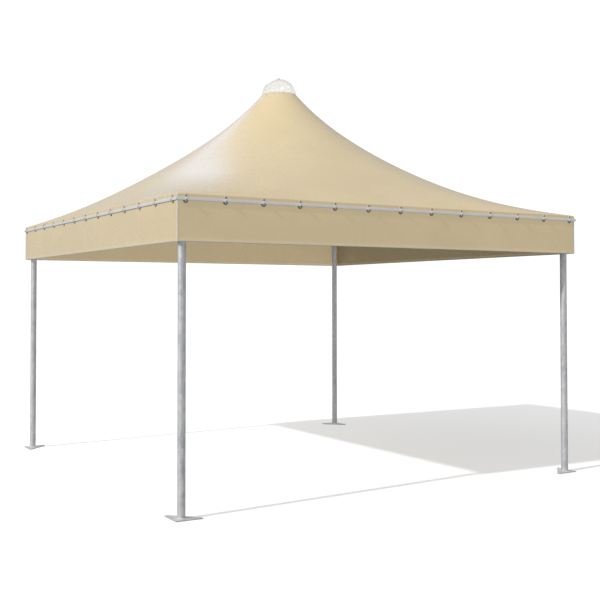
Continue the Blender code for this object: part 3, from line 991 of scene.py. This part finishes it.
membrane_cloth = coated_cloth(
    "beige_coated_cloth",
    MEMBRANE_CLEAN,
    MEMBRANE_DUSTY,
    roughness=0.260,
    weave_strength=0.10,
    tape_top=HEM_HEIGHT + TAPE_HEIGHT,
)
membrane_nodes = [f"roof_panel_{side}" for side in SIDES] + [f"valance_{side}" for side in SIDES]
membrane = fit("membrane", membrane_mesh, membrane_cloth, membrane_nodes)
body = membrane.modifiers.new("cloth_thickness", "SOLIDIFY")
body.thickness = SHEET
body.offset = -1


# Corner welts: a folded strip of lighter coated cloth, welded over the valances' seam at each corner
# of the tent, from the fold down to the hem.

WELT_LEG = 0.0105
WELT_PROUD = 0.0010
WELT_RADIUS = 0.0060
WELT_INNER = 0.0028
WELT_TOP = 2.3500
WELT_STEPS = 8
WELT_CLEAN = (0.47, 0.44, 0.37, 1)
WELT_DUSTY = (0.43, 0.40, 0.335, 1)

welt_cloth = coated_cloth(
    "light_welt_cloth", WELT_CLEAN, WELT_DUSTY, roughness=0.46, weave_strength=0.2
)
welt_shape = bmesh.new()
face = -HALF_WIDTH - WELT_PROUD
welt_end = -HALF_WIDTH + WELT_LEG
welt_inner = -HALF_WIDTH + WELT_INNER
welt_middle = face + WELT_RADIUS
welt_outline = [(face, welt_end)]
for step in range(WELT_STEPS + 1):
    angle = math.pi + step / WELT_STEPS * math.pi / 2
    round_x = welt_middle + WELT_RADIUS * math.cos(angle)
    round_y = welt_middle + WELT_RADIUS * math.sin(angle)
    welt_outline.append((round_x, round_y))
welt_outline += [(welt_end, face), (welt_end, welt_inner)]
welt_outline += [(welt_inner, welt_inner), (welt_inner, welt_end)]
prism(welt_shape, welt_outline, HEM_HEIGHT + 0.0005, WELT_TOP)
welt = mesh_from(welt_shape, "corner_welt")
for turn, corner in enumerate(CORNERS):
    welt_nodes = [f"corner_strip_{corner}"]
    fit(f"corner_welt_{corner}", welt, welt_cloth, welt_nodes, turn, edge=0.0006)


# Rails: drawn aluminium bars of 23 by 9 mm with rounded edges along the valances, just below the
# fold, mitred where they meet at the corners. The fittings clamp the membrane to them.

RAIL_TALL = 0.0232
RAIL_BACK = 0.0012
RAIL_PROUD = 0.0100
RAIL_ROUNDING = 0.0032
RAIL_GAP = 0.0002

rail_metal, rail_tree, rail_shader = new_finish("drawn_aluminium")
rail_place = place_on(rail_tree)
rail_lines = cloudy(rail_tree, stretched(rail_tree, rail_place, (3, 420, 420)), 1.0, 3)["Fac"]
rail_tone = calc(rail_tree, "MULTIPLY", rail_lines, cloudy(rail_tree, rail_place, 7, 4)["Fac"])
rail_colour = toned(
    rail_tree, rail_tone, (0.12, (0.500, 0.500, 0.502)), (0.42, (0.570, 0.570, 0.566))
)
rail_polish = ranged(rail_tree, rail_tone, target=(0.40, 0.55))
rail_relief = bumped(rail_tree, rail_lines, 0.12, 0.0002)
plug(
    rail_tree,
    rail_shader,
    {"Base Color": rail_colour, "Roughness": rail_polish, "Normal": rail_relief, "Metallic": 0.2},
)

# The section: out from the cloth and up from the rail's middle line.
rail_outline = [
    (RAIL_BACK, -RAIL_TALL / 2),
    (RAIL_PROUD, -RAIL_TALL / 2),
    (RAIL_PROUD, RAIL_TALL / 2),
    (RAIL_BACK, RAIL_TALL / 2),
]
# Only the two outer corners are rounded, with five points each.
rail_outline = rail_outline[:1] + rounded(rail_outline, RAIL_ROUNDING)[5:15] + rail_outline[3:]
rail_shape = bmesh.new()
rail_ends = [[], []]
for proud, up in rail_outline:
    reach = HALF_WIDTH + proud - RAIL_GAP
    for way, ring in zip((-1, 1), rail_ends):
        ring.append(rail_shape.verts.new((way * reach, -HALF_WIDTH - proud, RAIL_HEIGHT + up)))
for i in range(len(rail_outline)):
    j = (i + 1) % len(rail_outline)
    rail_shape.faces.new((rail_ends[0][i], rail_ends[1][i], rail_ends[1][j], rail_ends[0][j]))
rail_shape.faces.new(rail_ends[0])
rail_shape.faces.new(rail_ends[1][::-1])
rail = mesh_from(rail_shape, "rail")


def fit_rail_piece(name, mesh, material, nodes, turn):
    """Like fit, but the piece itself is turned, so that its finish follows the rail."""
    piece = fit(name, mesh, material)
    piece.parent = None
    piece.matrix_world = Matrix.Rotation(turn * math.pi / 2, 4, "Z")
    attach(piece, "root")
    if nodes:
        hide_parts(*nodes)
    return piece


for turn, side in enumerate(SIDES):
    fit_rail_piece(f"rail_tube_{side}", rail, rail_metal, [f"rail_{side}"], turn)


# Rail fittings, thirteen a side: a cast clamp bent over the rail with a tongue below it, a dark
# moulded half-round pad under the tongue, and a dark turn button on a bright collar above the rail.

PAD_THICKNESS = 0.0030
PAD_RADIUS = 0.0205
PAD_MIDDLE = -0.0118  # from the rail's middle line
PAD_STEPS = 20
BUTTON_RADIUS = 0.0078
BUTTON_MIDDLE = 0.0215
BUTTON_PROUD = 0.0104
BUTTON_EDGE = 0.0016
COLLAR_RADIUS = 0.0096
COLLAR_PROUD = 0.0070
CLAMP_WIDTH = 0.0145
CLAMP_PROUD = 0.0216
CLAMP_PLAY = 1.01  # the clamp's hollow over the rail's height
PART_GAP = 0.0002
TONGUE_WIDTH = 0.0130
TONGUE_TIP = 0.0035
TONGUE_START = -0.0120
TONGUE_END = -0.0225
TONGUE_THICKNESS = 0.0020

pad_rubber, pad_tree, pad_shader = new_finish("dark_moulded_pad")
pad_grain = cloudy(pad_tree, place_on(pad_tree), 700, 3)["Fac"]
pad_colour = toned(pad_tree, pad_grain, (0, (0.085, 0.078, 0.060)), (1, (0.145, 0.130, 0.100)))
pad_relief = bumped(pad_tree, pad_grain, 0.3, 0.0003)
plug(pad_tree, pad_shader, {"Base Color": pad_colour, "Normal": pad_relief, "Roughness": 0.55})

clamp_metal, clamp_tree, clamp_shader = new_finish("cast_clamp_metal")
clamp_grain = cloudy(clamp_tree, place_on(clamp_tree), 260, 3)["Fac"]
clamp_colour = toned(clamp_tree, clamp_grain, (0, (0.46, 0.46, 0.45)), (1, (0.60, 0.60, 0.58)))
plug(clamp_tree, clamp_shader, {"Base Color": clamp_colour, "Roughness": 0.40, "Metallic": 0.3})

pad_outline = []
for step in range(PAD_STEPS + 1):
    angle = math.pi + math.pi * step / PAD_STEPS
    pad_outline.append((PAD_RADIUS * math.cos(angle), PAD_MIDDLE + PAD_RADIUS * math.sin(angle)))

# The clamp from the side: up from the rail's middle line and out from the cloth.
clamp_outline = [
    (0.0122, PAD_THICKNESS),
    (0.0156, PAD_THICKNESS),
    (0.0150, 0.0075),
    (0.0060, CLAMP_PROUD - 0.0018),
    (0.0038, CLAMP_PROUD),
    (-0.0038, CLAMP_PROUD),
    (-0.0060, CLAMP_PROUD - 0.0018),
    (-0.0150, 0.0075),
    (-0.0156, PAD_THICKNESS + PART_GAP),
    (-0.0122, PAD_THICKNESS + PART_GAP),
]
clamp_outline += [(up * CLAMP_PLAY, proud + PART_GAP) for proud, up in rail_outline[1:-1]]

tongue_outline = [
    (-TONGUE_WIDTH / 2, TONGUE_START),
    (-TONGUE_TIP / 2, TONGUE_END),
    (TONGUE_TIP / 2, TONGUE_END),
    (TONGUE_WIDTH / 2, TONGUE_START),
]

pads_shape, clamps_shape = bmesh.new(), bmesh.new()
upright = Matrix.Rotation(math.pi / 2, 4, "X")
on_edge = Matrix(((0, 0, 1, 0), (0, -1, 0, 0), (1, 0, 0, 0), (0, 0, 0, 1)))
for number in range(FITTINGS):
    across = -HALF_WIDTH + FIRST_FITTING + number * FITTING_SPACING
    at = Matrix.Translation((across, -HALF_WIDTH, RAIL_HEIGHT))
    prism(pads_shape, pad_outline, 0.0001, PAD_THICKNESS, at @ upright)
    prism(clamps_shape, clamp_outline, -CLAMP_WIDTH / 2, CLAMP_WIDTH / 2, at @ on_edge)
    tongue_back = PAD_THICKNESS + PART_GAP
    prism(clamps_shape, tongue_outline, tongue_back, tongue_back + TONGUE_THICKNESS, at @ upright)
    at_button = at @ Matrix.Translation((0, 0, BUTTON_MIDDLE)) @ upright
    lathe(
        clamps_shape,
        [(0, COLLAR_PROUD), (COLLAR_RADIUS, COLLAR_PROUD), (COLLAR_RADIUS, 0.0001), (0, 0.0001)],
        steps=20,
        matrix=at_button,
    )
    lathe(
        pads_shape,
        [
            (0, BUTTON_PROUD),
            (BUTTON_RADIUS - BUTTON_EDGE, BUTTON_PROUD),
            (BUTTON_RADIUS, BUTTON_PROUD - BUTTON_EDGE),
            (BUTTON_RADIUS, COLLAR_PROUD + PART_GAP),
            (0, COLLAR_PROUD + PART_GAP),
        ],
        steps=20,
        matrix=at_button,
    )
pads = mesh_from(pads_shape, "rail_pads")
clamps = mesh_from(clamps_shape, "rail_clamps", sharp_over=30)
for turn, side in enumerate(SIDES):
    fit(f"rail_pads_{side}", pads, pad_rubber, (), turn, edge=0.0006)
    fit(f"rail_clamps_{side}", clamps, clamp_metal, (), turn, edge=0.0004)


# Dome cap: a bowl of clear acrylic, 4 mm thick, upside down on the peak ring. It lets daylight in and
# keeps rain out, and a small dome nut closes it.

DOME_BOTTOM = 3.6323
DOME_RADIUS = 0.1697
DOME_RISE = 0.162
DOME_WALL = 0.004
DOME_POINTS = 28
KNOB_RADIUS = 0.006
KNOB_HEIGHT = 0.014

acrylic, acrylic_tree, acrylic_shader = new_finish("clear_acrylic")
acrylic_shader.inputs["Roughness"].default_value = 0.0
acrylic_shader.inputs["Transmission Weight"].default_value = 1.0
acrylic_shader.inputs["IOR"].default_value = 1.49
acrylic_haze = cloudy(acrylic_tree, place_on(acrylic_tree), 14, 3)["Fac"]
acrylic_tint = toned(
    acrylic_tree, acrylic_haze, (0, (0.905, 0.900, 0.875)), (1, (0.925, 0.922, 0.900))
)
acrylic_tree.links.new(acrylic_tint, acrylic_shader.inputs["Base Color"])

dome_profile = []
for i in range(DOME_POINTS + 1):
    angle = i / DOME_POINTS * math.pi / 2
    dome_profile.append((DOME_RADIUS * math.sin(angle), DOME_BOTTOM + DOME_RISE * math.cos(angle)))
for i in range(DOME_POINTS + 1):
    angle = (1 - i / DOME_POINTS) * math.pi / 2
    dome_profile.append(
        (
            (DOME_RADIUS - DOME_WALL) * math.sin(angle),
            DOME_BOTTOM + (DOME_RISE - DOME_WALL) * math.cos(angle),
        )
    )
dome_profile[0] = (0, dome_profile[0][1])
dome_profile[-1] = (0, dome_profile[-1][1])
dome_shape = bmesh.new()
lathe(dome_shape, dome_profile, steps=96)
fit("dome", mesh_from(dome_shape, "dome"), acrylic, ["dome_cap"])

knob_bottom = DOME_BOTTOM + DOME_RISE + SEAT_GAP
knob_shape = bmesh.new()
lathe(
    knob_shape,
    [
        (0, knob_bottom + KNOB_HEIGHT),
        (0.0022, knob_bottom + KNOB_HEIGHT - 0.0004),
        (0.0040, knob_bottom + KNOB_HEIGHT - 0.0020),
        (0.0048, knob_bottom + KNOB_HEIGHT - 0.0045),
        (KNOB_RADIUS, knob_bottom + KNOB_HEIGHT - 0.0050),
        (KNOB_RADIUS, knob_bottom),
        (0, knob_bottom),
    ],
    steps=24,
)
fit("cap_nut", mesh_from(knob_shape, "cap_nut", sharp_over=30), pad_rubber, ["cap_knob"])
